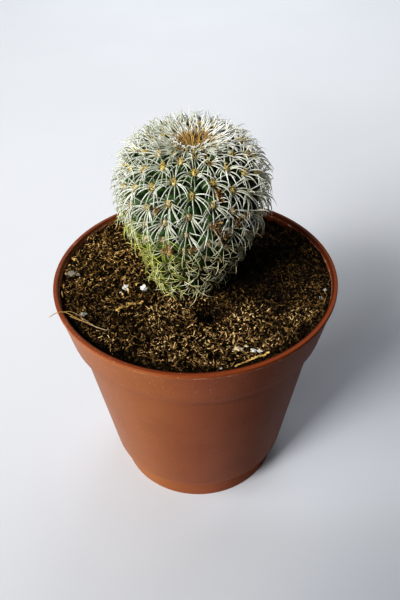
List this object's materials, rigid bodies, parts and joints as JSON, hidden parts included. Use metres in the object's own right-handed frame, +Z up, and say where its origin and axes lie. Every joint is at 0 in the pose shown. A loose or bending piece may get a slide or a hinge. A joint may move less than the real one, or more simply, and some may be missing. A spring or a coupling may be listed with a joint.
{
  "type": "potted frailea densispina",
  "caption": "Small white-spined cactus growing in compost in a round terracotta-coloured plastic nursery pot.",
  "frame": {"origin": "centre of the pot's foot, on the surface that it stands on", "axes": "+Z up along the pot's axis, through the crown of the plant; -Y towards the picture's camera, +X to its right"},
  "size_m": [0.055, 0.055, 0.0809],
  "materials": {
    "pot": "smooth moulded, faintly satin",
    "compost": "dry fibrous peat",
    "cactus": "waxy skin under white spines",
    "gold": "felt and bristles",
    "withered": "dry and crumpled",
    "perlite": "rough and porous",
    "straw": "dry fibre"
  },
  "bodies": {
    "root": {"pot": "pot", "compost": "compost", "cactus": "cactus", "crown_tuft": "gold", "withered_flower_1": "withered", "withered_flower_2": "withered", "withered_flower_3": "withered", "perlite_grain_1": "perlite", "perlite_grain_2": "perlite", "perlite_grain_3": "perlite", "perlite_grain_4": "perlite", "perlite_grain_5": "perlite", "bark_chip": "straw", "straw_1": "straw", "straw_2": "straw"}
  },
  "joints": []
}
